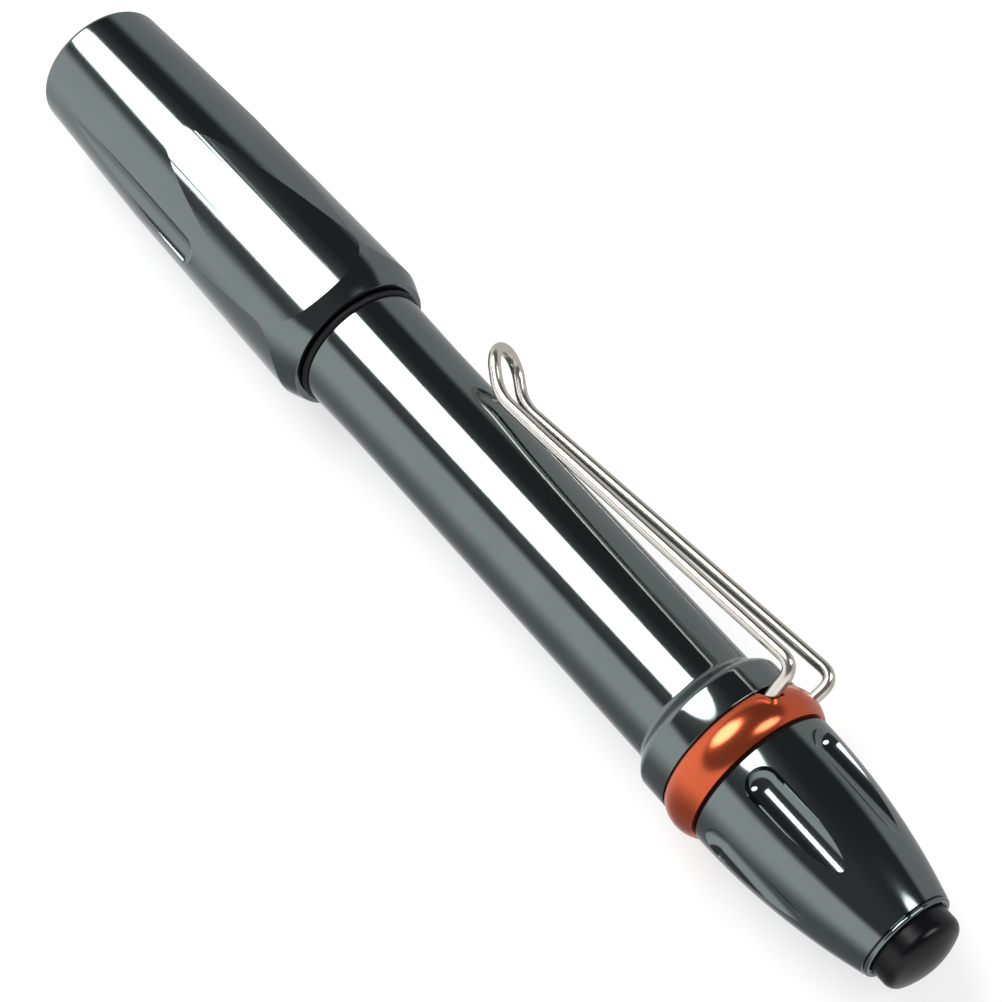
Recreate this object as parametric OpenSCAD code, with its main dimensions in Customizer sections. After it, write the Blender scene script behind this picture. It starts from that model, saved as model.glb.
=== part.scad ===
// Slim penlight for two AAA cells: fluted screw-on head, plain tube, wire pocket clip and a
// screw-on tail cap with a push button.
// The light's axis is X. The bezel face is at x = 0 and the button points to +X.
// +Z is up: the light lies on a facet of its head, and its clip stands out on the +Y side.
// Angles round the axis count from +Y towards +Z.

/* [Cells] */
// Diameter of one cell
cell_d = 10.5; // [10.2:0.1:10.6]
// Length of one cell over its positive cap
cell_len = 44.5; // [44.2:0.1:44.8]
// Height of the positive cap
nub_len = 0.9; // [0.8:0.1:1.2]

/* [Head] */
// Length of the head shell
head_len = 44.35; // [44:0.05:46]
// Radius at the bezel edge
bezel_r = 6.9; // [6.8:0.05:7]
// Radius at the crown, where the cone meets the rear rounding
crown_r = 8.6; // [8.5:0.05:8.8]
// Length of the rear rounding
round_len = 6.05; // [5:0.05:7]
// Curve radius of the rear rounding
round_r = 12.4; // [11:0.1:14]
// Radius of the round bezel edge
bezel_fillet = 0.6; // [0.3:0.1:0.8]
// Radius of the light opening
opening_r = 5.2; // [4.6:0.1:5.3]

/* [Head facets and flutes] */
// Angle of the first of the four facets
facet_angle = 100; // [0:1:180]
// Curve radius across a facet
facet_r = 10.8; // [10.2:0.1:11.6]
// Where the facets begin to show
facet_start = 17; // [14:0.5:20]
// Slope of a facet along the axis, in degrees
facet_slope = 0.9; // [0.7:0.1:1.1]
// Angle half way between the two flutes of one side
flute_angle = 88; // [0:1:180]
// Angle from there to each flute
flute_spread = 68; // [60:1:75]
// Cutter radius of the head flutes
flute_r = 2; // [1.7:0.1:2.2]
// Radius of the flute floor from the axis
flute_floor = 7.14; // [7.05:0.01:7.3]
// Centre of the flute's round end
flute_end = 26.3; // [22:0.1:28]

/* [Tube] */
// Wall of the tube
tube_wall = 0.9; // [0.85:0.05:1]
// How far the cells reach past the collar's rear face
cell_reach = 9.15; // [8.8:0.05:9.4]
// How far the front flange stands out from the tube
flange_h = 0.15; // [0.1:0.05:0.5]
// Radius of the rear collar
collar_r = 7.7; // [7.5:0.05:7.9]
// Width of the collar
collar_w = 2.15; // [1.8:0.05:2.4]
// Length of the flare from tube to collar
flare_len = 2; // [1.8:0.1:2.4]
// Width of the neck gap that the O-ring fills
neck_gap = 0.7; // [0.6:0.05:0.9]
// Outer radius of the neck O-ring
oring_out_r = 6.78; // [6.7:0.02:6.84]

/* [Clip ring] */
// Width of the ring
ring_w = 3.7; // [3.5:0.05:3.9]
// Largest radius of the ring
ring_r = 8.17; // [8.05:0.02:8.35]
// Radius at the ring's edges
ring_edge_r = 7.57; // [7.5:0.01:7.65]
// Gap in front of the ring
ring_front_gap = 0.65; // [0.5:0.05:0.7]
// Gap behind the ring, which the tail gasket fills
ring_rear_gap = 0.3; // [0.3:0.05:0.45]

/* [Wire clip] */
// Wire diameter
wire_d = 1.2; // [1.1:0.02:1.2]
// Direction that the clip faces
clip_angle = 27.5; // [0:0.5:90]
// Angle from there to the foot of each leg, under the ring
leg_angle = 36; // [33:1:40]
// Height of the clip's rear corner above the axis
corner_h = 9.95; // [9.7:0.05:10.4]
// Half width at the rear corner
corner_w = 4.95; // [4.6:0.05:5.2]
// Distance from the legs to the waist
waist_back = 32.9; // [32:0.1:34]
// Height of the waist above the axis
waist_h = 7.4; // [7.3:0.05:7.8]
// Half width at the waist
waist_w = 3.15; // [2.9:0.05:3.4]
// Distance from the legs to the valley that grips the cloth
valley_back = 39.5; // [38.5:0.1:40]
// Height of the valley above the axis
valley_h = 6.95; // [6.9:0.05:7.2]
// Half width of the tip loop
loop_w = 2.5; // [2.3:0.05:2.7]
// Length of the turned-up tip
tip_len = 4.95; // [4.5:0.05:5.5]
// Rise of the turned-up tip, in degrees
tip_rise = 34; // [28:1:40]

/* [Tail cap] */
// Radius at the cap's front
cap_front_r = 7.44; // [7.36:0.02:7.54]
// Radius at the cap's end
cap_end_r = 4.62; // [4.5:0.02:4.7]
// Number of cap flutes
cap_flutes = 6; // [4:1:8]
// Angle of the first cap flute
cap_flute_angle = 106; // [0:1:180]
// Cutter radius of the cap flutes
cap_flute_r = 1.9; // [1.6:0.1:2]
// Radius of the cap flute floor
cap_flute_floor = 6.2; // [6:0.01:6.3]
// Distance from the cap's front to the centre of the flute's round end
cap_flute_in = 3; // [2.8:0.1:5]
// Depth of the button hole in the cap's end
lip_len = 2.7; // [2.5:0.1:3]

/* [Switch] */
// Length of the battery spring in place
spring_len = 3.9; // [3.6:0.1:4.2]
// Height of the switch can
can_len = 4.2; // [4:0.1:4.6]

/* [Button] */
// Radius of the rubber button
button_r = 4.05; // [3.8:0.05:4.1]
// How far the button stands out of the cap
button_out = 3.1; // [2.4:0.1:3.2]
// Radius of the button's rounded edge
button_edge = 1.1; // [0.8:0.1:1.3]
// Curve radius of the button's crown
button_crown = 8; // [7:0.5:12]
// How far it can be pressed
button_travel = 1; // [0.6:0.1:1]

/* [Fits] */
// Radial gap between cell and tube
cell_gap = 0.2; // [0.15:0.01:0.25]
// Radial gap of the plain screw fits
screw_gap = 0.05; // [0.03:0.01:0.07]
// Radial gap between button and cap
button_gap = 0.07; // [0.05:0.01:0.09]
// Gap between the clip wire and its groove
wire_gap = 0.03; // [0.02:0.01:0.05]

/* [Hidden] */
$fn = 72;
free = 0.3;

// head chain
lip = 0.9;
opening_bevel = 0.25;
seal_t = 0.6;
lens_t = 1.5;
optic_r = 5.7;
lens_x = lip + seal_t;
mirror_x = lens_x + lens_t;
mirror_len = 7.6;
mirror_end = mirror_x + mirror_len;
nut_t = 1;
nut_hole_r = optic_r - 1.4;
bowl_r = optic_r - 0.5;
bowl_hole_r = 2.2;
cone_slope = atan((crown_r - bezel_r) / (head_len - round_len - bezel_fillet));
crown_x = head_len - round_len;

// tube
bore_r = cell_d / 2 + cell_gap;
tube_r = bore_r + tube_wall;
spigot_r = tube_r - 0.27;
head_bore_r = spigot_r + screw_gap;
neck_x = head_len + neck_gap;
flange_r = tube_r + flange_h;
oring_r = (oring_out_r - spigot_r - screw_gap) / 2;

// LED module
board_x = mirror_end + nut_t + free;
board_t = 1;
pill_x = board_x + board_t;
pill_flange = 0.8;
pill_len = 5.1;
tube_front = pill_x + pill_flange;
driver_x = pill_x + 2.7;
driver_t = 0.8;
cup_r = bore_r - 0.75;
cell_x = pill_x + 5.7;
cell_end = cell_x + 2 * cell_len;
led_w = 2.6;
led_t = 0.7;
led_board_r = bore_r - 0.95;
stud_r = 1.5;
stud_foot_r = 2.3;
insulator_hole_r = 3;
nub_r = 1.9;
cell_plate_r = cell_d / 2 - 1.45;
cell_plate_t = 0.3;

// clip ring and tail
cap_bore_r = bore_r - 0.03;
thread_r = cap_bore_r + 0.45;
rear_wall = 0.85;
rear_r = thread_r + rear_wall;
groove_r = thread_r + 0.25;
anchor_r = groove_r + wire_gap + wire_d / 2;
recess_r = anchor_r + wire_d / 2 + wire_gap;
wire_in = 0.3;
collar_x = cell_end - cell_reach;
ring_x = collar_x + ring_front_gap;
ring_end = ring_x + ring_w;
cap_x = ring_end + ring_rear_gap;
rear_end = ring_end - 0.25;
leg_x = ring_x + wire_in + wire_d / 2;
recess = wire_in + wire_d + 2 * wire_gap;
ring_sag = ring_r - ring_edge_r;
ring_arc = (ring_w * ring_w / 4 + ring_sag * ring_sag) / (2 * ring_sag);
thread_front = collar_x - collar_w - 1.4;

// switch and the cap's end
switch_board_x = cell_end + spring_len;
switch_board_t = 0.8;
shoulder_x = switch_board_x + switch_board_t;
retainer_t = 1.3;
retainer_hole_r = cap_bore_r - 1.1;
can_r = 4.5;
can_in_r = 3;
can_end = shoulder_x + can_len;
boot_free = 1.05;
boot_in = can_end + button_travel + boot_free;
boot_flange = 0.65;
pocket_r = 4.75;
lip_x = boot_in + boot_flange;
cap_end = lip_x + lip_len;
cap_len = cap_end - cap_x;
cap_drop = cap_front_r - cap_end_r;
cap_arc = (cap_len * cap_len + cap_drop * cap_drop) / (2 * cap_drop);
snap_r = 2.6;
snap_t = 0.65;
plunger_r = 1.4;
plunger_collar = shoulder_x + snap_t + 0.1 + button_travel;
boss_x = boot_in - 0.05;
boot_bore_r = 3.3;
button_tip = cap_end + button_out;
crown_c = button_tip - button_crown;
edge_x = crown_c + sqrt(pow(button_crown - button_edge, 2) - pow(button_r - button_edge, 2));
edge_turn = atan2(button_r - button_edge, edge_x - crown_c);

// clip wire, in a frame with x along the axis, z up towards the clip and y across it
leg_foot = [0, anchor_r * sin(leg_angle), anchor_r * cos(leg_angle)];
leg_dir = unit([0, corner_w, corner_h] - leg_foot);
leg_dot = leg_foot * leg_dir;
leg_out = -leg_dot + sqrt(leg_dot * leg_dot - anchor_r * anchor_r + pow(ring_r + 0.18, 2));
slot_gap = 0.15;
split_gap = 0.06;
anchor_tail = 165;

// battery spring
spring_wire = 0.5;
spring_turns = 3;
spring_start = cell_end + spring_wire / 2;
spring_stop = switch_board_x - spring_wire / 2;
spring_path = [for (i = [0:8 * spring_turns])
    let (t = i / (8 * spring_turns), r = 2.3 + 1.3 * t)
    [spring_start + (spring_stop - spring_start) * t, r * cos(45 * i), r * sin(45 * i)]];
spring_gap = min([for (i = [0:8 * spring_turns - 6], j = [i + 6:8 * spring_turns])
    norm(spring_path[i] - spring_path[j])]) - spring_wire;
echo(battery_spring_least_gap = spring_gap);

// Points of an arc in a lengthwise section.
function arc(x, r, size, from, to, n) = [for (i = [0:n])
    let (a = from + (to - from) * i / n) [x + size * cos(a), r + size * sin(a)]];

// Points of a smooth S between two stations of a lengthwise section.
function s_curve(a, b, n) = [for (i = [0:n])
    let (t = i / n) [a[0] + (b[0] - a[0]) * t, a[1] + (b[1] - a[1]) * (1 - cos(180 * t)) / 2]];

// A turned solid from its lengthwise section, given as [x, r].
module turned(section) {
    rotate([0, 90, 0])
        rotate_extrude()
            polygon([for (p = section) [p[1], p[0]]]);
}

// A plain turned ring or disc.
module disc(x, length, r, hole = 0) {
    translate([x, 0, 0])
        rotate([0, 90, 0])
            difference() {
                cylinder(r = r, h = length);
                if (hole > 0) translate([0, 0, -1]) cylinder(r = hole, h = length + 2);
            }
}

// Turns a feature drawn upright to its angle round the axis.
module at(angle) {
    rotate([angle - 90, 0, 0]) children();
}

// A straight flute cutter with one round end.
module flute(from, to, round_at, size, floor_r) {
    translate([from, 0, floor_r + size])
        rotate([0, 90, 0])
            cylinder(r = size, h = to - from);
    translate([round_at, 0, floor_r + size])
        sphere(r = size);
}

// Round wire along a path.
function unit(v) = v / norm(v);
function along(p) = [for (i = [0:len(p) - 1]) unit(p[min(i + 1, len(p) - 1)] - p[max(i - 1, 0)])];
function square_to(n, t) = unit(n - (n * t) * t);
function sides_of(t, n0) = [for (i = 0, n = square_to(n0, t[0]); i < len(t);
    i = i + 1, n = square_to(n, t[min(i, len(t) - 1)])) n];
module wire(path, d, n, start) {
    t = along(path);
    s = sides_of(t, start);
    last = len(path) - 1;
    points = [for (i = [0:last], j = [0:n - 1])
        let (a = 360 * j / n) path[i] + d / 2 * (cos(a) * s[i] + sin(a) * cross(t[i], s[i]))];
    skin_a = [for (i = [0:last - 1], j = [0:n - 1])
        [i * n + j, i * n + n + j, i * n + n + (j + 1) % n]];
    skin_b = [for (i = [0:last - 1], j = [0:n - 1])
        [i * n + j, i * n + n + (j + 1) % n, i * n + (j + 1) % n]];
    ends = [[for (j = [0:n - 1]) j], [for (j = [n - 1:-1:0]) last * n + j]];
    polyhedron(points = points, faces = concat(skin_a, skin_b, ends));
}

// Points of a bend that rounds the corner b between a and c.
function bend(a, b, c, size, n) = [for (i = [0:n])
    let (t = i / n, p = b + size * unit(a - b), q = b + size * unit(c - b))
    (1 - t) * (1 - t) * p + 2 * t * (1 - t) * b + t * t * q];

// Milled head shell: slow cone, four shallow facets, round-ended flutes and a rounded rear.
module head_shell() {
    rear = arc(crown_x + round_r * sin(cone_slope), crown_r - round_r * cos(cone_slope), round_r,
        90 + cone_slope, acos((round_len - 0.15 - round_r * sin(cone_slope)) / round_r), 14);
    outer = concat(
        arc(bezel_fillet, bezel_r - bezel_fillet, bezel_fillet, 180, 90 + cone_slope, 6),
        rear,
        [[head_len, rear[14][1] - 0.12]]);
    inner = [[head_len, head_bore_r], [mirror_end, head_bore_r], [mirror_end, optic_r + screw_gap],
        [lip, optic_r + screw_gap], [lip, opening_r],
        [opening_bevel, opening_r], [0, opening_r + opening_bevel]];
    facet_at_start = bezel_r + (facet_start - bezel_fillet) * tan(cone_slope);
    color([0.24, 0.26, 0.28])
        difference() {
            intersection() {
                turned(concat(outer, inner));
                for_facet(0, facet_at_start);
                for_facet(90, facet_at_start);
                for_facet(180, facet_at_start);
                for_facet(270, facet_at_start);
            }
            for (side = [0, 180], spread = [-flute_spread, flute_spread])
                at(flute_angle + side + spread)
                    flute(-1, flute_end, flute_end, flute_r, flute_floor);
        }
}

// The broad cylinder whose skin is one facet.
module for_facet(turn, r_at_start) {
    at(facet_angle + turn)
        translate([facet_start, 0, r_at_start - facet_r])
            rotate([0, 90 - facet_slope, 0])
                cylinder(r = facet_r, h = 120, center = true, $fn = 144);
}

// Flat lens, lens seal, deep reflector and the threaded ring that holds them.
module lens() {
    color([0.85, 0.92, 0.95, 0.4])
        turned([[lens_x, 0], [lens_x, optic_r - 0.2], [lens_x + 0.2, optic_r],
            [mirror_x - 0.2, optic_r], [mirror_x, optic_r - 0.2], [mirror_x, 0]]);
}

module lens_seal() {
    color([0.06, 0.06, 0.06])
        disc(lip, seal_t, optic_r, opening_r + 0.05);
}

module reflector() {
    bowl_k = (mirror_len - 0.7) / (bowl_r * bowl_r - bowl_hole_r * bowl_hole_r);
    bowl = [for (i = [0:10])
        let (r = bowl_hole_r + (bowl_r - bowl_hole_r) * i / 10)
        [mirror_x + (bowl_r * bowl_r - r * r) * bowl_k, r]];
    color([0.85, 0.85, 0.86])
        turned(concat(bowl, [[mirror_x, optic_r], [mirror_end, optic_r], [mirror_end, bowl_hole_r]]));
}

module reflector_ring() {
    color([0.7, 0.6, 0.3])
        disc(mirror_end, nut_t, head_bore_r, nut_hole_r);
}

// Squeezed neck seal that rides with the head as it is unscrewed.
module neck_oring() {
    color([0.05, 0.05, 0.05])
        rotate([0, 90, 0])
            translate([0, 0, head_len + neck_gap / 2])
                rotate_extrude()
                    translate([oring_out_r - oring_r, 0])
                        circle(r = min(oring_r, neck_gap / 2 - 0.02));
}

// One-piece tube: front spigot, flange, plain grip, flare, collar and rear spigot.
module body_tube() {
    flare_x = collar_x - collar_w - flare_len;
    skin = concat(
        [[tube_front, spigot_r - 0.2], [tube_front + 0.2, spigot_r], [neck_x, spigot_r]],
        [[neck_x, flange_r - 0.15], [neck_x + 0.15, flange_r], [neck_x + 0.4, flange_r]],
        s_curve([neck_x + 0.45, flange_r], [neck_x + 1.3, tube_r + 0.07], 8),
        [[neck_x + 7, tube_r]],
        s_curve([flare_x, tube_r], [collar_x - collar_w, collar_r], 14),
        [[collar_x - 0.15, collar_r], [collar_x, collar_r - 0.15]],
        [[collar_x, rear_r], [ring_x, rear_r], [ring_x, groove_r], [ring_x + recess, groove_r]],
        [[ring_x + recess, rear_r], [rear_end, rear_r]]);
    hollow = [[rear_end, thread_r], [thread_front, thread_r], [thread_front, bore_r], [tube_front, bore_r]];
    color([0.24, 0.26, 0.28])
        turned(concat(skin, hollow));
}

// LED on its board, brass pill and driver, pressed into the tube's front.
module led_dome() {
    color([0.95, 0.93, 0.7, 0.6])
        turned(concat([[board_x - led_t, 0]], arc(board_x - led_t, 0, led_w / 2 - 0.05, 90, 180, 10)));
}

module led_package() {
    color([0.93, 0.85, 0.3])
        translate([board_x - led_t, -led_w / 2, -led_w / 2])
            cube([led_t, led_w, led_w]);
}

module led_board() {
    color([0.9, 0.9, 0.88])
        disc(board_x, board_t, led_board_r);
}

module led_pill() {
    color([0.78, 0.62, 0.28])
        turned([[pill_x, 0], [pill_x, spigot_r - free], [tube_front, spigot_r - free], [tube_front, bore_r],
            [pill_x + pill_len, bore_r], [pill_x + pill_len, cup_r], [driver_x, cup_r], [driver_x, 0]]);
}

module driver_board() {
    color([0.1, 0.4, 0.2])
        disc(driver_x, driver_t, cup_r);
}

module driver_insulator() {
    color([0.9, 0.9, 0.85])
        disc(driver_x + driver_t, pill_x + pill_len - driver_x - driver_t, cup_r, insulator_hole_r);
}

module contact_stud() {
    stud_x = driver_x + driver_t;
    color([0.8, 0.66, 0.32])
        turned([[stud_x, 0], [stud_x, stud_foot_r], [stud_x + 0.6, stud_foot_r], [stud_x + 0.6, stud_r],
            [cell_x - 0.2, stud_r], [cell_x, stud_r - 0.2], [cell_x, 0]]);
}

// The two cells stand nose to tail: jackets, positive caps and negative plates.
module cell(x) {
    front = x + nub_len;
    rear = x + cell_len - cell_plate_t;
    color([0.3, 0.32, 0.36])
        turned([[front, 0], [front, cell_d / 2 - 0.7], [front + 0.7, cell_d / 2],
            [rear - 0.4, cell_d / 2], [rear, cell_d / 2 - 0.4], [rear, 0]]);
}

module front_cell() {
    cell(cell_x);
}

module rear_cell() {
    cell(cell_x + cell_len);
}

module cell_caps() {
    color([0.8, 0.8, 0.8])
        for (x = [cell_x, cell_x + cell_len])
            turned([[x, 0], [x, nub_r - 0.3], [x + 0.3, nub_r], [x + nub_len, nub_r], [x + nub_len, 0]]);
}

module cell_plates() {
    color([0.8, 0.8, 0.8])
        for (x = [cell_x + cell_len, cell_x + 2 * cell_len])
            disc(x - cell_plate_t, cell_plate_t, cell_plate_r);
}

// Barrel-shaped clip ring, pressed on the tube, with a recess and two slots for the wire.
module clip_ring() {
    middle = ring_x + ring_w / 2;
    half = asin(ring_w / 2 / ring_arc);
    barrel = concat(
        arc(middle, ring_r - ring_arc, ring_arc, 90 + half, 90 - half, 16),
        [[ring_end, rear_r], [ring_x + recess, rear_r]],
        [[ring_x + recess, recess_r], [ring_x, recess_r]]);
    color([0.78, 0.28, 0.16])
        difference() {
            turned(barrel);
            at(clip_angle) {
                leg_slot(1);
                leg_slot(-1);
            }
        }
}

// Slot through the ring for one leg of the clip.
module leg_slot(side) {
    translate([ring_x - 1, side * leg_foot[1], leg_foot[2]])
        rotate([-side * atan2(leg_dir[1], leg_dir[2]), 0, 0])
            translate([0, -wire_d / 2 - slot_gap, 0])
                cube([1 + recess, wire_d + 2 * slot_gap, leg_out + 1]);
}

// Anchor loop of the clip wire, round the tube's rear spigot and out through the slots.
module clip_anchor() {
    color([0.75, 0.73, 0.7])
        at(clip_angle) {
            wire(anchor_path(1), wire_d, 12, [1, 0, 0]);
            wire(anchor_path(-1), wire_d, 12, [1, 0, 0]);
        }
}

// A point of one leg, at a distance from its foot.
function on_leg(side, s) = [leg_x, side * (leg_foot[1] + s * leg_dir[1]), leg_foot[2] + s * leg_dir[2]];

function anchor_path(side) = let (
        round_part = [for (i = [0:20])
            let (a = anchor_tail + (leg_angle + 8 - anchor_tail) * i / 20)
            [leg_x, side * anchor_r * sin(a), anchor_r * cos(a)]],
        out = on_leg(side, leg_out))
    concat(round_part, bend(round_part[20], on_leg(side, 0), out, 0.8, 4), [out]);

// Springing arm of the clip wire: two legs, corners, long wires, waist, valley and tip loop.
module clip_arm() {
    color([0.75, 0.73, 0.7])
        at(clip_angle)
            wire(concat(arm_half(1), mirrored(arm_half(-1))), wire_d, 12, [1, 0, 0]);
}

function mirrored(list) = [for (i = [len(list) - 1:-1:0]) list[i]];

function arm_half(side) = let (
        foot = on_leg(side, leg_out + split_gap),
        corner = [leg_x, side * corner_w, corner_h],
        waist = [leg_x - waist_back, side * waist_w, waist_h],
        valley = [leg_x - valley_back, side * loop_w, valley_h],
        rise = [-cos(tip_rise), 0, sin(tip_rise)],
        loop = valley + (tip_len - loop_w) * rise)
    concat(
        [foot],
        bend(foot, corner, waist, 1.7, 8),
        bend(corner, waist, valley, 1.8, 5),
        bend(waist, valley, loop, 1.6, 6),
        [for (i = [0:side > 0 ? 8 : 7]) let (a = 90 * i / 8) [loop[0], 0, loop[2]]
            + loop_w * (sin(a) * rise + [0, side * cos(a), 0])]);

// Flat gasket that rides with the tail cap as it is unscrewed.
module tail_gasket() {
    color([0.05, 0.05, 0.05])
        disc(ring_end + 0.02, ring_rear_gap - 0.04, cap_front_r - 0.3, thread_r);
}

// Ogive tail cap with its screw spigot, flutes, switch bore and rolled rim.
module tail_cap() {
    turn = asin(cap_len / cap_arc);
    rim = 0.22;
    flute_x = cap_x + cap_flute_in;
    skin = concat(
        [[cap_x, cap_front_r - 0.12]],
        arc(cap_x, cap_front_r - cap_arc, cap_arc, 89.9, 90 - turn * (1 - rim / cap_len), 20),
        arc(cap_end - rim, cap_end_r - rim + 0.02, rim, 65, -90, 6));
    hole = [[lip_x, button_r + button_gap], [lip_x, pocket_r], [can_end - 0.2, pocket_r],
        [can_end - 0.2, can_r], [shoulder_x, can_r], [shoulder_x, cap_bore_r]];
    spigot = [[thread_front + free, cap_bore_r], [thread_front + free, thread_r - screw_gap - 0.2],
        [thread_front + free + 0.2, thread_r - screw_gap], [cap_x, thread_r - screw_gap]];
    color([0.24, 0.26, 0.28])
        difference() {
            turned(concat(skin, [[cap_end - rim, button_r + button_gap]], hole, spigot));
            for (i = [0:cap_flutes - 1])
                at(cap_flute_angle + 360 * i / cap_flutes)
                    flute(flute_x, cap_end + 1, flute_x, cap_flute_r, cap_flute_floor);
        }
}

// Switch stack held in the cap: retaining ring, board, can, snap contact and battery spring.
module switch_retainer() {
    color([0.78, 0.62, 0.28])
        disc(switch_board_x - retainer_t, retainer_t, cap_bore_r, retainer_hole_r);
}

module switch_board() {
    color([0.1, 0.4, 0.2])
        disc(switch_board_x, switch_board_t, cap_bore_r - 0.05);
}

module switch_housing() {
    color([0.12, 0.12, 0.13])
        turned([[shoulder_x, can_in_r], [shoulder_x, can_r], [can_end, can_r],
            [can_end, plunger_r + button_gap], [can_end - 1, plunger_r + button_gap],
            [can_end - 1, can_in_r]]);
}

module snap_contact() {
    color([0.85, 0.78, 0.5])
        turned([[shoulder_x, 0], [shoulder_x, snap_r], [shoulder_x + 0.25, snap_r],
            [shoulder_x + snap_t, 1.2], [shoulder_x + snap_t, 0]]);
}

module battery_spring() {
    color([0.8, 0.78, 0.72])
        wire(spring_path, spring_wire, 6, [1, 0, 0]);
}

// Rubber button: retained flange, neck, rounded edge and flattish crown, with a boss over the plunger.
module rubber_boot() {
    color([0.08, 0.08, 0.08])
        turned(concat(
            [[boot_in, boot_bore_r], [boot_in, can_r - 0.05], [lip_x, can_r - 0.05], [lip_x, button_r]],
            arc(edge_x, button_r - button_edge, button_edge, 90, edge_turn, 8),
            arc(crown_c, 0, button_crown, edge_turn * 5 / 6, 0, 5),
            [[boss_x, 0], [boss_x, plunger_r], [button_tip - 1.4, plunger_r], [button_tip - 1.4, 2.6]],
            [[button_tip - 2, boot_bore_r]]));
}

module switch_plunger() {
    color([0.9, 0.9, 0.9])
        turned([[plunger_collar, 0], [plunger_collar, 2.3], [plunger_collar + 0.7, 2.3],
            [plunger_collar + 0.7, plunger_r], [boss_x, plunger_r], [boss_x, 0]]);
}

head_shell();
lens();
lens_seal();
reflector();
reflector_ring();
neck_oring();
body_tube();
led_dome();
led_package();
led_board();
led_pill();
driver_board();
driver_insulator();
contact_stud();
front_cell();
rear_cell();
cell_caps();
cell_plates();
clip_ring();
clip_anchor();
clip_arm();
tail_gasket();
tail_cap();
switch_retainer();
switch_board();
switch_housing();
snap_contact();
battery_spring();
rubber_boot();
switch_plunger();
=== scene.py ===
import math

import bpy
from mathutils import Matrix, Vector


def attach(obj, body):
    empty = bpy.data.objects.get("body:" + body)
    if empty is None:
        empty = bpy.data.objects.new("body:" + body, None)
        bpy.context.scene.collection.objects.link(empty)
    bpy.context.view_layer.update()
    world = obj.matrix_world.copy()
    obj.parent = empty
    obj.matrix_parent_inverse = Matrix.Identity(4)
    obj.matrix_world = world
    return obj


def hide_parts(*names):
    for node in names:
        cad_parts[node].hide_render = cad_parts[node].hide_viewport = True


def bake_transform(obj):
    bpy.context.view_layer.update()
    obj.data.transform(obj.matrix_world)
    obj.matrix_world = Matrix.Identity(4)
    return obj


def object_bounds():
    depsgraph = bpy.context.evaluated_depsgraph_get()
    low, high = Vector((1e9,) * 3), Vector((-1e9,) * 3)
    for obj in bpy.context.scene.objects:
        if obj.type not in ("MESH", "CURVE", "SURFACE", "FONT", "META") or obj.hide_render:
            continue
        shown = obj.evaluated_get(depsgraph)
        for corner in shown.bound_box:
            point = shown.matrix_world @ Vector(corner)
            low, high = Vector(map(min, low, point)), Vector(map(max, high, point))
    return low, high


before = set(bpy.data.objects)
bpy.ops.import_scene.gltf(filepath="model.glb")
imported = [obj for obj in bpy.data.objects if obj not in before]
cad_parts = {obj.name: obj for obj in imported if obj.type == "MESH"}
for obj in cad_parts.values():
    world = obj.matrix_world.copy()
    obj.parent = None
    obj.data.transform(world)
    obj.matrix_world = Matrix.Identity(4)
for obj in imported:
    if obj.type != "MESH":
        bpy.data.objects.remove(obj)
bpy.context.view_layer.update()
mm = 0.001


# Body tube: one turned piece of dark chromed brass. A long spigot slips into the head, a small flange
# stops the neck O-ring, and the rear flares to a collar, with a spigot behind it for the clip ring.
def arc(x, r, size, start, end, steps):
    angles = [math.radians(start + (end - start) * i / steps) for i in range(steps + 1)]
    return [(x + size * math.cos(a), r + size * math.sin(a)) for a in angles]


def ogee(x0, r0, x1, r1, steps):
    return [(x0 + (x1 - x0) * i / steps, r0 + (r1 - r0) * (1 - math.cos(math.pi * i / steps)) / 2)
            for i in range(steps + 1)]


def spaced(points, step):
    out = [points[0]]
    for a, b in zip(points, points[1:]):
        n = max(1, round(math.dist(a, b) / step))
        out += [(a[0] + (b[0] - a[0]) * i / n, a[1] + (b[1] - a[1]) * i / n) for i in range(1, n + 1)]
    return out


def turn(name, outline, closed=True, steps=144):
    bpy.ops.object.select_all(action="DESELECT")
    bpy.ops.mesh.primitive_plane_add(size=mm)
    piece = bpy.context.object
    piece.name = piece.data.name = name
    bpy.ops.object.mode_set(mode="EDIT")
    bpy.ops.mesh.select_all(action="SELECT")
    bpy.ops.mesh.merge(type="CENTER")
    x, r = outline[0]
    bpy.ops.transform.translate(value=(x * mm, 0, r * mm))
    for a, b in zip(outline, outline[1:]):
        step = ((b[0] - a[0]) * mm, 0, (b[1] - a[1]) * mm)
        bpy.ops.mesh.extrude_region_move(TRANSFORM_OT_translate={"value": step})
    bpy.ops.mesh.select_all(action="SELECT")
    if closed:
        bpy.ops.object.mode_set(mode="OBJECT")
        for v in piece.data.vertices:
            v.select = v.index in (0, len(outline) - 1)
        for e in piece.data.edges:
            e.select = False
        bpy.ops.object.mode_set(mode="EDIT")
        bpy.ops.mesh.select_mode(type="VERT")
        bpy.ops.mesh.edge_face_add()
        bpy.ops.mesh.select_all(action="SELECT")
    bpy.ops.mesh.spin(steps=steps, angle=2 * math.pi, center=(0, 0, 0), axis=(1, 0, 0))
    bpy.ops.mesh.select_all(action="SELECT")
    bpy.ops.mesh.remove_doubles(threshold=0.0005 * mm)
    bpy.ops.mesh.normals_make_consistent(inside=False)
    bpy.ops.object.mode_set(mode="OBJECT")
    return piece


def smooth(piece, degrees):
    bpy.ops.object.select_all(action="DESELECT")
    piece.select_set(True)
    bpy.context.view_layer.objects.active = piece
    bpy.ops.object.shade_smooth_by_angle(angle=math.radians(degrees))


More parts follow.
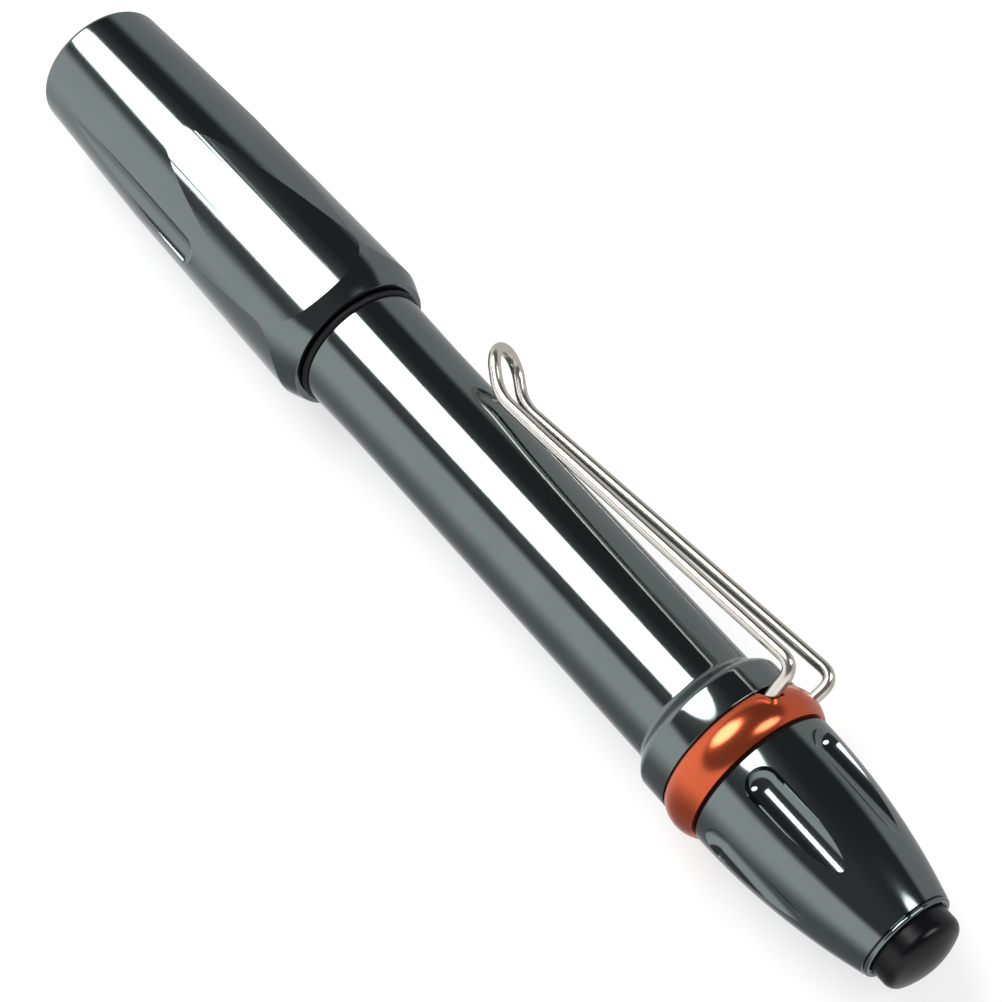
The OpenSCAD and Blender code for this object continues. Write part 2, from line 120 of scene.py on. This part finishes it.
def surface(name, light, dark, metallic, roughness, grain, bump):
    finish = bpy.data.materials.new(name)
    finish.use_nodes = True
    nodes, links = finish.node_tree.nodes, finish.node_tree.links
    shader = nodes["Principled BSDF"]
    shader.inputs["Metallic"].default_value = metallic
    place = nodes.new("ShaderNodeTexCoord")
    cloud = nodes.new("ShaderNodeTexNoise")
    cloud.inputs["Scale"].default_value = grain
    cloud.inputs["Detail"].default_value = 4
    links.new(place.outputs["Object"], cloud.inputs["Vector"])
    tint = nodes.new("ShaderNodeMix")
    tint.data_type = "RGBA"
    tint.inputs[6].default_value = (*dark, 1)
    tint.inputs[7].default_value = (*light, 1)
    links.new(cloud.outputs["Fac"], tint.inputs[0])
    links.new(tint.outputs[2], shader.inputs["Base Color"])
    sheen = nodes.new("ShaderNodeMapRange")
    sheen.inputs["To Min"].default_value = roughness[0]
    sheen.inputs["To Max"].default_value = roughness[1]
    links.new(cloud.outputs["Fac"], sheen.inputs["Value"])
    links.new(sheen.outputs["Result"], shader.inputs["Roughness"])
    fine = nodes.new("ShaderNodeTexNoise")
    fine.inputs["Scale"].default_value = grain * 12
    fine.inputs["Detail"].default_value = 3
    links.new(place.outputs["Object"], fine.inputs["Vector"])
    relief = nodes.new("ShaderNodeBump")
    relief.inputs["Strength"].default_value = bump
    relief.inputs["Distance"].default_value = 0.02 * mm
    links.new(fine.outputs["Fac"], relief.inputs["Height"])
    links.new(relief.outputs["Normal"], shader.inputs["Normal"])
    return finish


def tune(finish, socket, value):
    finish.node_tree.nodes["Principled BSDF"].inputs[socket].default_value = value


def dress(piece, finish, slot, body, *nodes):
    piece.data.materials.clear()
    piece.data.materials.append(finish)
    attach(piece, body)
    if nodes:
        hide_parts(*nodes)


dark_chrome = surface("dark_chrome", (0.195, 0.225, 0.225), (0.157, 0.185, 0.185),
                      1.0, (0.07, 0.11), 160, 0.05)
tune(dark_chrome, "Specular Tint", (0.9, 0.9, 0.9, 1))
tube_r = 6.35
seat_r = 6.72
groove_r = 6.12
rear_bore_r = 5.87
cell_bore_r = 5.45
neck_x = 45.05
ring_front = 99.1
recess_end = 100.66
tube_skin = ([(13.7, 5.88), (13.9, 6.08)]
             + [(neck_x, 6.08), (neck_x, tube_r)] + arc(45.2, tube_r, 0.15, 180, 90, 6) + [(45.45, 6.5)]
             + [(52.05, tube_r)] + ogee(94.3, tube_r, 96.3, 7.7, 28)
             + arc(98.88, 7.58, 0.12, 90, 0, 6) + [(99.0, seat_r), (ring_front, seat_r)]
             + [(ring_front, groove_r), (recess_end, groove_r), (recess_end, seat_r), (102.55, seat_r)]
             + [(102.55, rear_bore_r), (94.9, rear_bore_r), (94.9, cell_bore_r), (13.7, cell_bore_r)])
tube = turn("tube", tube_skin)
smooth(tube, 20)
dress(tube, dark_chrome, "gunmetal", "body", "body_tube")


# LED module: a phosphor chip under a clear dome on a white metal-core board, a brass pill that carries
# its heat into the tube, and a driver board with an insulating ring and a contact stud.
def paint(finish, *nodes):
    for n in nodes:
        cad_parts[n].data.materials.clear()
        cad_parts[n].data.materials.append(finish)


turned_brass = surface("turned_brass", (0.78, 0.6, 0.27), (0.68, 0.5, 0.2), 1.0, (0.2, 0.32), 300, 0.2)
board_white = surface("board_white", (0.86, 0.86, 0.83), (0.8, 0.8, 0.77), 0.0, (0.35, 0.45), 400, 0.1)
board_green = surface("board_green", (0.05, 0.3, 0.12), (0.03, 0.22, 0.08), 0.0, (0.3, 0.4), 400, 0.2)
phosphor = surface("phosphor", (0.95, 0.82, 0.16), (0.88, 0.72, 0.1), 0.0, (0.5, 0.6), 900, 0.1)
white_plastic = surface("white_plastic", (0.85, 0.85, 0.83), (0.78, 0.78, 0.75), 0.0, (0.4, 0.5), 500, 0.2)
clear_dome = surface("clear_dome", (0.97, 0.95, 0.85), (0.94, 0.92, 0.82), 0.0, (0.02, 0.04), 400, 0.02)
tune(clear_dome, "Transmission Weight", 1)
paint(phosphor, "led_package")
paint(clear_dome, "led_dome")
paint(board_white, "led_board")
paint(turned_brass, "led_pill", "contact_stud")
paint(board_green, "driver_board")
paint(white_plastic, "driver_insulator")


# Two AAA cells stand nose to tail in the tube: plain shrink-sleeved steel cans with a pressed
# positive cap at the front and a bare steel plate at the rear.
cell_sleeve = surface("cell_sleeve", (0.1, 0.11, 0.14), (0.08, 0.09, 0.115), 0.0, (0.2, 0.3), 300, 0.1)
plated_steel = surface("plated_steel", (0.72, 0.72, 0.7), (0.6, 0.6, 0.58), 1.0, (0.2, 0.3), 300, 0.2)
paint(cell_sleeve, "front_cell", "rear_cell")
paint(plated_steel, "cell_caps", "cell_plates")


# Neck O-ring: black nitrile cord ring, squeezed between the head's rear face and the tube's flange.
# It shows as a black line and moves with the head when that is unscrewed.
black_rubber = surface("black_rubber", (0.012, 0.012, 0.013), (0.007, 0.007, 0.008),
                       0.0, (0.4, 0.5), 900, 0.4)
tune(black_rubber, "Specular IOR Level", 0.2)
bpy.ops.object.select_all(action="DESELECT")
bpy.ops.mesh.primitive_torus_add(location=(44.7 * mm, 0, 0), rotation=(0, math.radians(90), 0),
                                 major_radius=6.455 * mm, minor_radius=0.325 * mm,
                                 major_segments=144, minor_segments=24)
oring = bpy.context.object
oring.name = oring.data.name = "oring"
bpy.ops.object.transform_apply(location=True, rotation=True, scale=True)
smooth(oring, 60)
dress(oring, black_rubber, "black_rubber", "neck_seal", "neck_oring")


# Head shell: a long sleeve of dark chromed brass, turned to a slow cone, then milled with four broad
# shallow facets and four round-ended flutes, and rounded at the rear. It screws on the tube's spigot.
def lay_cutter(piece, angle):
    bpy.ops.object.select_all(action="DESELECT")
    piece.select_set(True)
    bpy.context.view_layer.objects.active = piece
    piece.data.transform(Matrix.Rotation(math.radians(angle - 90), 4, "X"))
    return piece


def carve(piece, cutter, operation):
    bpy.ops.object.select_all(action="DESELECT")
    piece.select_set(True)
    bpy.context.view_layer.objects.active = piece
    bpy.ops.object.modifier_add(type="BOOLEAN")
    step = piece.modifiers[-1]
    step.operation = operation
    step.solver = "EXACT"
    step.object = cutter
    bpy.ops.object.modifier_apply(modifier=step.name)
    bpy.data.objects.remove(cutter)


def round_nose(name, start, end, nose, floor, size, steps=128):
    at_rear = nose > start
    nose_arc = arc(nose, 0, size, 0 if at_rear else 180, 90, steps // 4)
    other = start if at_rear else end
    cutter = turn(name, nose_arc + [(other, size), (other, 0)], closed=False, steps=steps)
    cutter.data.transform(Matrix.Translation((0, 0, (floor + size) * mm)))
    return cutter


head_len = 44.35
front_r = 6.9
rear_r = 8.6
bezel_round = 0.6
rear_len = 6.05
rear_round = 12.4
optic_end = 10.6
cone_turn = math.degrees(math.atan((rear_r - front_r) / (head_len - rear_len - bezel_round)))
lean = math.radians(cone_turn)
rear_stop = math.degrees(math.acos((rear_len - 0.15 - rear_round * math.sin(lean)) / rear_round))
rear_arc = arc(38.3 + rear_round * math.sin(lean), rear_r - rear_round * math.cos(lean), rear_round,
               90 + cone_turn, rear_stop, 20)
bezel_end = (bezel_round - bezel_round * math.sin(lean), 6.3 + bezel_round * math.cos(lean))
head_skin = (arc(bezel_round, 6.3, bezel_round, 180, 90 + cone_turn, 26)
             + spaced([bezel_end, rear_arc[0]], 1.0)[1:] + rear_arc[1:]
             + [(44.33, rear_arc[-1][1] - 0.04), (head_len, rear_arc[-1][1] - 0.12)]
             + [(head_len, 6.13), (optic_end, 6.13), (optic_end, 5.75)]
             + [(0.9, 5.75), (0.9, 5.2), (0.25, 5.2), (0, 5.45)])
head = turn("head", head_skin, steps=160)
facet_turn = 100
facet_x = 17
facet_r = 10.8
facet_slope = 0.9
facet_height = front_r + (facet_x - bezel_round) * math.tan(lean) - facet_r
for k in range(4):
    bpy.ops.object.select_all(action="DESELECT")
    bpy.ops.mesh.primitive_cylinder_add(vertices=288, radius=facet_r * mm, depth=120 * mm,
                                        location=(facet_x * mm, 0, facet_height * mm),
                                        rotation=(0, math.radians(90 - facet_slope), 0))
    facet = bpy.context.object
    bpy.ops.object.transform_apply(location=True, rotation=True, scale=True)
    carve(head, lay_cutter(facet, facet_turn + 90 * k), "INTERSECT")
flute_turn = 88
flute_spread = 68
for angle in [flute_turn + half + side * flute_spread for half in (0, 180) for side in (-1, 1)]:
    carve(head, lay_cutter(round_nose("flute", -1, 26.3, 26.3, 7.14, 2.0), angle), "DIFFERENCE")
smooth(head, 4)
dress(head, dark_chrome, "gunmetal", "head", "head_shell")


# Lens, seal and reflector sit behind the bezel lip: a flat glass, a rubber ring and a deep silvered
# bowl, all held by a brass ring that screws in from behind.
clear_glass = surface("clear_glass", (0.97, 0.99, 0.99), (0.95, 0.97, 0.97), 0.0, (0.01, 0.03), 300, 0.02)
tune(clear_glass, "Transmission Weight", 1)
tune(clear_glass, "IOR", 1.49)
paint(clear_glass, "lens")
paint(black_rubber, "lens_seal")
paint(turned_brass, "reflector_ring")
silvered = surface("silvered", (0.9, 0.9, 0.9), (0.84, 0.84, 0.84), 1.0, (0.08, 0.14), 300, 0.15)
mouth_x = 3.0
mouth_r = 5.2
led_hole_r = 2.2
optic_r = 5.7
bowl_k = 6.9 / (mouth_r ** 2 - led_hole_r ** 2)
bowl_radii = [led_hole_r + 3.0 * i / 30 for i in range(31)]
bowl = [(mouth_x + (mouth_r ** 2 - r * r) * bowl_k, r) for r in bowl_radii]
back = [(mouth_x, optic_r), (optic_end, optic_r), (optic_end, led_hole_r)]
reflector = turn("reflector", bowl + back, steps=96)
smooth(reflector, 20)
dress(reflector, silvered, "silvered", "head", "reflector")


# Clip ring: a barrel-shaped aluminium ring, anodised orange and pressed on the tube's rear spigot. It
# traps the clip wire's anchor in a recess and lets the legs out through two slots in its front edge.
orange_anodised = surface("orange_anodised", (0.66, 0.125, 0.05), (0.58, 0.1, 0.04),
                          0.9, (0.16, 0.22), 250, 0.1)
ring_r = 8.17
ring_w = 3.7
recess_r = 7.38
clip_turn = 27.5
anchor_x = 100
anchor_r = 6.75
leg_angle = 36
corner_w = 4.95
corner_h = 9.95
ring_sag = ring_r - 7.57
ring_arc = (ring_w ** 2 / 4 + ring_sag ** 2) / (2 * ring_sag)
ring_half = math.degrees(math.asin(ring_w / 2 / ring_arc))
ring = turn("ring", arc(100.95, ring_r - ring_arc, ring_arc, 90 + ring_half, 90 - ring_half, 32)
            + [(102.8, seat_r), (recess_end, seat_r), (recess_end, recess_r), (ring_front, recess_r)])
leg_foot = Vector((anchor_x, anchor_r * math.sin(math.radians(leg_angle)),
                   anchor_r * math.cos(math.radians(leg_angle))))
leg_turn = math.atan2(corner_w - leg_foot.y, corner_h - leg_foot.z)
for side in (1, -1):
    bpy.ops.object.select_all(action="DESELECT")
    bpy.ops.mesh.primitive_cube_add(size=1, scale=(2.56 * mm, 1.5 * mm, 2.72 * mm),
                                    location=(0, 0, 1.36 * mm))
    slot = bpy.context.object
    bpy.ops.object.transform_apply(location=True, rotation=True, scale=True)
    slot.data.transform(Matrix.Rotation(-side * leg_turn, 4, "X"))
    slot.data.transform(Matrix.Translation((99.38 * mm, side * leg_foot.y * mm, leg_foot.z * mm)))
    carve(ring, lay_cutter(slot, clip_turn), "DIFFERENCE")
smooth(ring, 12)
dress(ring, orange_anodised, "orange_metal", "body", "clip_ring")


# Pocket clip: one bent nickel-plated spring wire. It is anchored round the tube under the clip ring,
# rises in two legs, runs forward to a narrow waist, dips to the tube and turns up in a loop.
def eased(a, b, c, size, steps):
    p = b + (a - b).normalized() * size
    q = b + (c - b).normalized() * size
    shares = [i / steps for i in range(steps + 1)]
    return [(1 - t) ** 2 * p + 2 * t * (1 - t) * b + t * t * q for t in shares]


wire_r = 0.6
loop_w = 2.5
tip_len = 4.95
tip_rise = math.radians(34)


def half_wire(side):
    foot = Vector((leg_foot.x, side * leg_foot.y, leg_foot.z))
    bends = [math.radians(165 + (leg_angle + 8 - 165) * i / 40) for i in range(41)]
    anchor = [Vector((anchor_x, side * anchor_r * math.sin(a), anchor_r * math.cos(a))) for a in bends]
    corner = Vector((anchor_x, side * corner_w, corner_h))
    waist = Vector((anchor_x - 32.9, side * 3.15, 7.4))
    valley = Vector((anchor_x - 39.5, side * loop_w, 6.95))
    rise = Vector((-math.cos(tip_rise), 0, math.sin(tip_rise)))
    tip = valley + rise * (tip_len - loop_w)
    points = anchor + eased(anchor[-1], foot, corner, 0.8, 8)
    points += eased(foot, corner, waist, 1.7, 16)
    points += eased(corner, waist, valley, 1.8, 12)
    points += eased(waist, valley, tip, 1.6, 14)
    middle = Vector((tip.x, 0, tip.z))
    points += [middle + loop_w * (math.sin(a) * rise + Vector((0, side * math.cos(a), 0)))
               for a in [math.radians(90 * i / 20) for i in range(20)]]
    return points, middle + loop_w * rise


nickel = surface("nickel", (0.78, 0.73, 0.67), (0.68, 0.63, 0.56), 1.0, (0.18, 0.25), 400, 0.15)
one, apex = half_wire(1)
two, apex = half_wire(-1)
route = one + [apex] + two[::-1]
bpy.ops.object.select_all(action="DESELECT")
bpy.ops.curve.primitive_nurbs_path_add()
clip = bpy.context.object
clip.name = clip.data.name = "clip"
clip.data.splines.clear()
line = clip.data.splines.new("POLY")
line.points.add(len(route) - 1)
for p, at in zip(line.points, route):
    p.co = (at.x * mm, at.y * mm, at.z * mm, 1)
clip.data.bevel_depth = wire_r * mm
clip.data.bevel_resolution = 6
clip.data.use_fill_caps = True
bpy.ops.object.convert(target="MESH")
lay_cutter(clip, clip_turn)
smooth(clip, 40)
clip.data.materials.clear()
clip.data.materials.append(nickel)
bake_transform(clip)
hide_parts("clip_anchor", "clip_arm")


# Tail gasket: a flat black ring on the cap's thread that seals the joint behind the clip ring. It
# shows as a thin dark line and moves with the cap when that is unscrewed.
gasket = turn("gasket", [(102.82, rear_bore_r), (102.82, 7.06), (102.9, 7.14),
                         (103.0, 7.14), (103.08, 7.06), (103.08, rear_bore_r)])
smooth(gasket, 50)
dress(gasket, black_rubber, "black_rubber", "cap_seal", "tail_gasket")


# Tail cap: an ogive of dark chromed brass with six milled flutes that end round at the front, a fine
# rolled rim at the rear, and a screw spigot that reaches through the clip ring into the tube.
cap_front = 103.1
cap_len = 18.8
cap_front_r = 7.44
rim_w = 0.55
bead_x = 121.66
lip_x = 119.2
thread_r = 5.62
cap_flute_turn = 106
cap_drop = cap_front_r - 4.62
cap_arc = (cap_len ** 2 + cap_drop ** 2) / (2 * cap_drop)
cap_turn = math.degrees(math.asin(cap_len / cap_arc))
rim_turn = 90 - cap_turn * (1 - rim_w / cap_len)
cap_skin = ([(cap_front, 7.32)]
            + arc(cap_front, cap_front_r - cap_arc, cap_arc, 89.9, rim_turn, 40)
            + arc(bead_x, 4.44, 0.24, 150, -90, 20)
            + [(bead_x, 4.12), (lip_x, 4.12), (lip_x, 4.75), (116.3, 4.75), (116.3, 4.5), (112.3, 4.5)]
            + [(112.3, 5.42), (95.2, 5.42), (95.2, 5.56), (95.3, thread_r), (102.2, thread_r)]
            + [(102.4, 5.82), (cap_front, 5.82)])
cap = turn("cap", cap_skin, steps=144)
for k in range(6):
    flute = round_nose("flute", 106.1, 123, 106.1, 6.2, 1.9)
    carve(cap, lay_cutter(flute, cap_flute_turn + 60 * k), "DIFFERENCE")
smooth(cap, 4)
dress(cap, dark_chrome, "gunmetal", "tail", "tail_cap")

bpy.ops.object.select_all(action="DESELECT")
bpy.ops.mesh.primitive_plane_add(size=mm)
thread = bpy.context.object
thread.name = thread.data.name = "thread"
bpy.ops.object.mode_set(mode="EDIT")
bpy.ops.mesh.select_all(action="SELECT")
bpy.ops.mesh.merge(type="CENTER")
bpy.ops.transform.translate(value=(95.6 * mm, 0, 5.6 * mm))
for run, rise in ((0.12, 0.0), (0.3, 0.22), (0.14, 0.0), (0.3, -0.22), (0.14, 0.0)):
    bpy.ops.mesh.extrude_region_move(TRANSFORM_OT_translate={"value": (run * mm, 0, rise * mm)})
bpy.ops.mesh.select_all(action="SELECT")
bpy.ops.mesh.screw(steps=64, turns=5, center=(0, 0, 0), axis=(1, 0, 0))
bpy.ops.mesh.select_all(action="SELECT")
bpy.ops.mesh.remove_doubles(threshold=0.0005 * mm)
bpy.ops.mesh.normals_make_consistent(inside=False)
bpy.ops.object.mode_set(mode="OBJECT")
smooth(thread, 30)
dress(thread, dark_chrome, "gunmetal", "tail")


# Switch stack in the cap: brass retaining ring, green board, black can, snap contact and the coil
# spring that presses on the rear cell.
black_plastic = surface("black_plastic", (0.03, 0.03, 0.033), (0.02, 0.02, 0.023),
                        0.0, (0.35, 0.45), 500, 0.2)
paint(turned_brass, "switch_retainer")
paint(board_green, "switch_board")
paint(black_plastic, "switch_housing")
paint(plated_steel, "snap_contact", "battery_spring")
paint(white_plastic, "switch_plunger")


# Rubber boot: a moulded black push button with a short straight side, a rounded edge and a flattish
# crown. Its flange is held behind the cap's lip.
boot_r = 4.05
edge_round = 1.1
crown_r = 8
crown_x = 125.0 - crown_r
edge_x = crown_x + math.sqrt((crown_r - edge_round) ** 2 - (boot_r - edge_round) ** 2)
edge_turn = math.degrees(math.atan2(boot_r - edge_round, edge_x - crown_x))
boot_skin = ([(118.55, 3.3), (118.55, 4.45), (lip_x, 4.45), (lip_x, boot_r)]
             + arc(edge_x, boot_r - edge_round, edge_round, 90, edge_turn, 14)
             + arc(crown_x, 0, crown_r, edge_turn, 0, 14)[1:]
             + [(118.5, 0), (118.5, 1.4), (123.6, 1.4), (123.6, 2.6), (123.0, 3.3)])
boot_rubber = surface("boot_rubber", (0.004, 0.004, 0.005), (0.002, 0.002, 0.003),
                      0.0, (0.2, 0.27), 900, 0.3)
tune(boot_rubber, "Specular IOR Level", 0.25)
boot = turn("boot", boot_skin, steps=96)
smooth(boot, 30)
dress(boot, boot_rubber, "black_rubber", "button", "rubber_boot")


# Studio: a plain pale floor, a soft box above the head end and a small one above the tail, pale walls
# round a dark ceiling, and a long lens that looks down along the light from its tail.
low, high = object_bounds()
bpy.ops.object.select_all(action="DESELECT")
bpy.ops.mesh.primitive_plane_add(size=1.2, location=(0.06, 0, low[2]))
floor = bpy.context.object
floor.name = "floor"
floor_paint = surface("floor_paint", (0.93, 0.93, 0.93), (0.91, 0.91, 0.91), 0.0, (0.8, 0.9), 20, 0.0)
fn, fl = floor_paint.node_tree.nodes, floor_paint.node_tree.links
white = fn.new("ShaderNodeEmission")
lift = fn.new("ShaderNodeMath")
lift.operation = "MULTIPLY"
lift.inputs[1].default_value = 0.65
fl.new(fn.new("ShaderNodeLightPath").outputs["Is Camera Ray"], lift.inputs[0])
lifted = fn.new("ShaderNodeMixShader")
fl.new(lift.outputs[0], lifted.inputs[0])
fl.new(fn["Principled BSDF"].outputs[0], lifted.inputs[1])
fl.new(white.outputs[0], lifted.inputs[2])
fl.new(lifted.outputs[0], fn["Material Output"].inputs["Surface"])
floor.data.materials.append(floor_paint)
floor.visible_glossy = False

world = bpy.data.worlds.new("studio")
bpy.context.scene.world = world
world.use_nodes = True
wn, wl = world.node_tree.nodes, world.node_tree.links
room = wn["Background"]
ray = wn.new("ShaderNodeLightPath")
way = wn.new("ShaderNodeTexCoord")


def facing(direction, start, end, near, far):
    along = wn.new("ShaderNodeVectorMath")
    along.operation = "DOT_PRODUCT"
    along.inputs[1].default_value = direction
    wl.new(way.outputs["Generated"], along.inputs[0])
    ramp = wn.new("ShaderNodeMapRange")
    ramp.interpolation_type = "SMOOTHSTEP"
    for name, value in (("From Min", start), ("From Max", end), ("To Min", near), ("To Max", far)):
        ramp.inputs[name].default_value = value
    wl.new(along.outputs["Value"], ramp.inputs["Value"])
    return ramp.outputs["Result"]


def joined(operation, a, b):
    sum_up = wn.new("ShaderNodeMath")
    sum_up.operation = operation
    wl.new(a, sum_up.inputs[0])
    wl.new(b, sum_up.inputs[1])
    return sum_up.outputs[0]


toward = Vector((-0.522, -0.107, 0.846)).normalized()
walls = joined("MULTIPLY", facing((0, 0.122, 0.993), 0.38, 0.55, 1.0, 0.12),
               facing((0, 0.993, -0.122), -0.5, 0.5, 1.12, 0.56))
walls = joined("MULTIPLY", walls, facing((0, -0.693, -0.721), 0.6, 0.97, 1.0, 0.26))
walls = joined("ADD", walls, facing(toward, 0.8, 0.95, 0.0, 0.08))
glossy = wn.new("ShaderNodeMix")
glossy.inputs[2].default_value = 0.62
wl.new(ray.outputs["Is Glossy Ray"], glossy.inputs[0])
wl.new(walls, glossy.inputs[3])
seen = wn.new("ShaderNodeMix")
wl.new(ray.outputs["Is Camera Ray"], seen.inputs[0])
wl.new(glossy.outputs[0], seen.inputs[2])
seen.inputs[3].default_value = 1.0
wl.new(seen.outputs[0], room.inputs["Strength"])
room.inputs["Color"].default_value = (1, 1, 1, 1)

aim = Vector((0.07, 0, 0))
tail_side = Vector((0.405, 0.58, 0.707)).normalized()
boxes = (("softbox", toward, 1.25, 1.31, 32.5), ("tail_box", tail_side, 0.57, 1.1, 10))
box_distance = 1.8
for name, way_to, length, width, watts in boxes:
    box = bpy.data.lights.new(name, "AREA")
    box.shape = "ELLIPSE"
    box.size, box.size_y = length, width
    box.energy = watts
    softbox = bpy.data.objects.new(name, box)
    bpy.context.scene.collection.objects.link(softbox)
    side = (Vector((1, 0, 0)) - way_to * way_to.x).normalized()
    turned_to = Matrix((side, way_to.cross(side), way_to)).transposed().to_4x4()
    softbox.matrix_world = Matrix.Translation(aim + way_to * box_distance) @ turned_to

view = bpy.data.cameras.new("camera")
view.lens = 102.9
view.sensor_width = 36
view.clip_start = 0.01
camera = bpy.data.objects.new("camera", view)
bpy.context.scene.collection.objects.link(camera)
camera.location = (0.1802, -0.06051, 0.22848)
camera.rotation_euler = [math.radians(a) for a in (28.88, 5.534, 52.106)]
bpy.context.scene.camera = camera
bpy.context.scene.view_settings.view_transform = "Standard"
